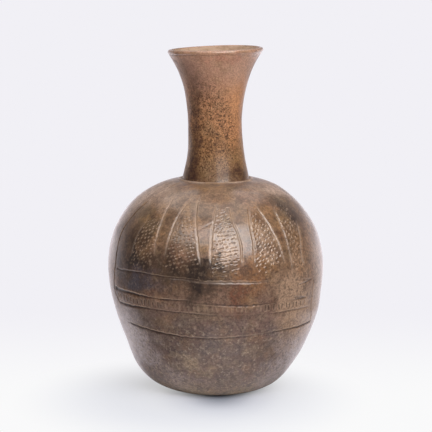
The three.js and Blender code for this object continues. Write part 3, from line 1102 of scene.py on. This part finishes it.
# The floor as the skin mirrors it: where it starts, its level, and its parts behind and beside the pot
MIRROR_FROM = (0.06, 0.16)
MIRROR_LEVEL = 1.15
MIRROR_BACK = (0.25, 0.95)
MIRROR_SIDE = (-0.4, 0.3)
MIRROR_SIDE_REACH = (0.55, 0.35)


def make_floor():
    bm = bmesh.new()
    bmesh.ops.create_grid(bm, x_segments=1, y_segments=1, size=FLOOR_SIZE)
    mesh = bpy.data.meshes.new("floor")
    bm.to_mesh(mesh)
    bm.free()
    mesh.materials.append(pale_floor())
    floor = in_scene("floor", mesh)


def shadow_distance(floor, shift, stretch):
    """Distance on the floor from the middle of the shadow, painted and real, in metres."""
    shifted = floor.vector("ADD", floor.place, shift)[0]
    stretched = floor.vector("MULTIPLY", shifted, stretch)[0]
    return floor.vector("LENGTH", stretched)["Value"]


def mirrored_level(floor, away):
    """How bright the burnished skin mirrors the floor, brightest behind the pot."""
    bearing = floor.axes(floor.vector("NORMALIZE", floor.place)[0])["Y"]
    behind = floor.ease(bearing, *MIRROR_BACK, ROOM_LEVEL, MIRROR_LEVEL)
    beside = floor.ease(bearing, *MIRROR_SIDE, 0.0, MIRROR_LEVEL)
    beside = floor.times(beside, floor.ease(away, *MIRROR_SIDE_REACH))
    return floor.math("MAXIMUM", behind, beside)


def pale_floor():
    """A pale floor that keeps the pot's shadow, has a painted shadow darkening its colour to the camera near
    the pot, and passes into the plain background further off.
    """
    floor = ClayRecipe("pale_floor", FLOOR_GLOSS)
    away = shadow_distance(floor, *NEAR_SHADOW)
    far = shadow_distance(floor, *FAR_SHADOW)
    rays = floor.node("ShaderNodeLightPath", {}).outputs
    camera = rays["Is Camera Ray"]
    # Painted shadow: to the camera the floor is darker and bluer near the pot, darkest at the shadow's middle
    painted_shadow = floor.blend(floor.ease(away, *PAINTED_SHADOW_FADE), PAINTED_SHADOW_INNER_COLOUR, PAINTED_SHADOW_OUTER_COLOUR)
    floor.give("Base Color", floor.blend(camera, FLOOR_COLOUR, painted_shadow))
    glowing = floor.math("ADD", floor.ease(away, *NEAR_GLOW), floor.ease(far, *FAR_GLOW))
    seen = floor.times(camera, glowing)
    mirrored = floor.math("MAXIMUM", rays["Is Glossy Ray"], rays["Is Transmission Ray"])
    mirrored = floor.times(mirrored, floor.ease(away, *MIRROR_FROM))
    turned = floor.ease(floor.axes(floor.place)["Y"], *PAPER_TURN)
    paper = floor.blend(turned, BACKGROUND_COLOUR, FRONT_COLOUR)
    paper = floor.blend(camera, SWEEP_COLOUR, paper)
    level = floor.node("ShaderNodeMix", {0: camera, 2: mirrored_level(floor, away), 3: 1.0}).outputs[0]
    glow = floor.node("ShaderNodeEmission", {"Color": paper, "Strength": level}).outputs[0]
    shares = {0: floor.math("MAXIMUM", seen, mirrored), 1: floor.shader.outputs[0], 2: glow}
    mix = floor.node("ShaderNodeMixShader", shares).outputs[0]
    floor.feed(floor.tree.nodes["Material Output"].inputs["Surface"], mix)
    return floor.material


# The camera in metres, with its lens and sensor
CAMERA_EYE = (0.0012, -1.700, 0.415)
CAMERA_AIM = (0.0012, 0.0, 0.1522)
CAMERA_LENS = 161.5
SENSOR = 36.0


def make_camera():
    data = bpy.data.cameras.new("camera")
    data.lens = CAMERA_LENS
    data.sensor_width = SENSOR
    camera = in_scene("camera", data)
    camera.location = CAMERA_EYE
    camera.rotation_euler = (Vector(CAMERA_AIM) - Vector(CAMERA_EYE)).to_track_quat("-Z", "Y").to_euler()
    bpy.context.scene.camera = camera


# Soft boxes: degrees round from the front and up from level, distance, width and height in metres, watts
SOFT_BOXES = [
    ("key_soft_box", 25, 37, 1.25, 0.92, 1.06, 14),
    ("fill_soft_box", -26, 46, 1.25, 0.9, 0.55, 3),
    ("ceiling_soft_box", 180, 78, 1.6, 1.8, 1.8, 13),
]
LIGHT_AIM = (0, 0, 0.15)


def soft_box(name, turn, rise, distance, width, height, watts):
    """A soft box that faces the pot."""
    a, e = math.radians(turn), math.radians(rise)
    away = Vector((math.sin(a) * math.cos(e), -math.cos(a) * math.cos(e), math.sin(e)))
    data = bpy.data.lights.new(name, "AREA")
    data.shape = "RECTANGLE"
    data.size = width
    data.size_y = height
    data.energy = watts
    lamp = in_scene(name, data)
    lamp.location = Vector(LIGHT_AIM) + away * distance
    lamp.rotation_euler = (-away).to_track_quat("-Z", "Y").to_euler()


def studio_world():
    """The plain background for the camera, and light on the pot from the sweep behind it and the dim room."""
    world = bpy.data.worlds.new("studio")
    world.use_nodes = True
    sky = Recipe(world.node_tree)
    background = world.node_tree.nodes["Background"]
    camera = sky.node("ShaderNodeLightPath", {}).outputs["Is Camera Ray"]
    sky.feed(background.inputs["Color"], sky.blend(camera, SWEEP_COLOUR, BACKGROUND_COLOUR))
    direction = sky.axes(sky.node("ShaderNodeTexCoord", {}).outputs["Generated"])
    sweep = sky.ease(direction["Y"], *SWEEP_BACK, ROOM_LEVEL, SWEEP_LEVEL)
    sweep = sky.times(sweep, sky.ease(direction["Z"], *SWEEP_UP))
    sky.feed(background.inputs["Strength"], sky.math("MAXIMUM", camera, sweep))
    return world


def light_studio():
    bpy.context.scene.world = studio_world()
    for box in SOFT_BOXES:
        soft_box(*box)


bpy.context.scene.view_settings.view_transform = "Standard"
make_camera()
make_floor()
light_studio()
fires = {"foot_clay": body_colour, "body_clay": body_colour, "neck_clay": neck_colour}
clays = {slot: fired_clay(slot, fire) for slot, fire in fires.items()}
make_base_disc()
for wall, names, joints in ((body, BODY_RINGS, body_joints), (neck, NECK_RINGS, neck_joints)):
    for name, low, high in zip(names, joints, joints[1:]):
        make_ring(wall, name, low, high)
make_lip_coil()
